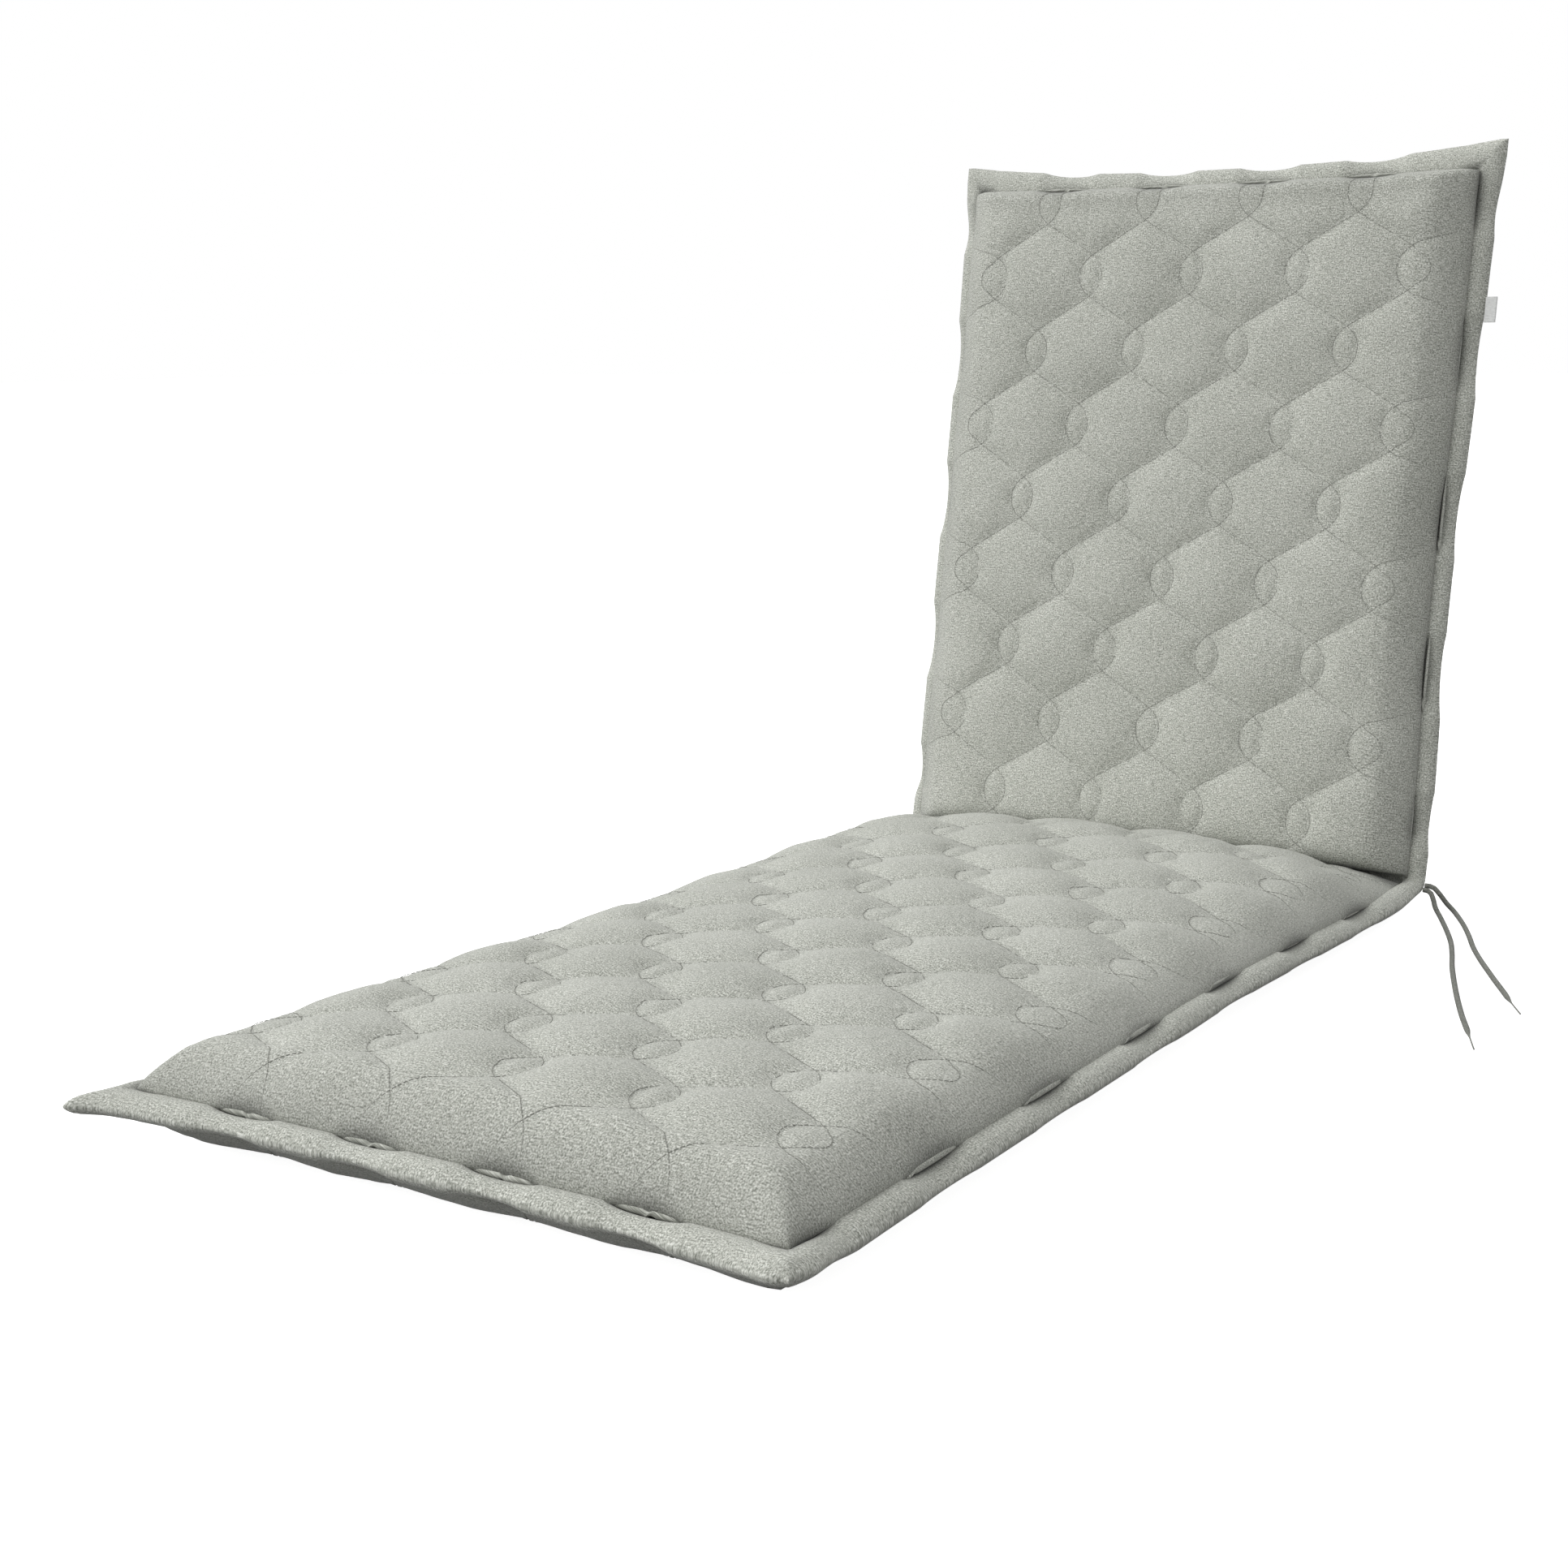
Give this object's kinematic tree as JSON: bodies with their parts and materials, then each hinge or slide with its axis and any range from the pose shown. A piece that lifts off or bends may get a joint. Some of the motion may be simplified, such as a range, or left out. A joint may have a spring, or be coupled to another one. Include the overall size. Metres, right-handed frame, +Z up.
{
  "type": "sun lounger cushion",
  "caption": "Long quilted lounger cushion with a raised back section, padded border all round, a blank side label and a tie with two free ends at the fold.",
  "frame": {"origin": "under the middle of the cushion and its label, on the surface the seat section lies on; the free tie ends are not counted", "axes": "+Z up, +Y from the foot towards the raised head end, +X towards the side with the tie and the label"},
  "size_m": [0.7918, 1.3736, 0.7698],
  "materials": {
    "melange_cloth": "light grey melange weave, matt",
    "tie_cord": "dark grey braided cord, matt",
    "label_tape": "white woven tape, left bare"
  },
  "bodies": {
    "root": {"cushion": "melange_cloth", "tie_end_long": "tie_cord", "tie_end_short": "tie_cord", "side_label": "label_tape"}
  },
  "joints": []
}
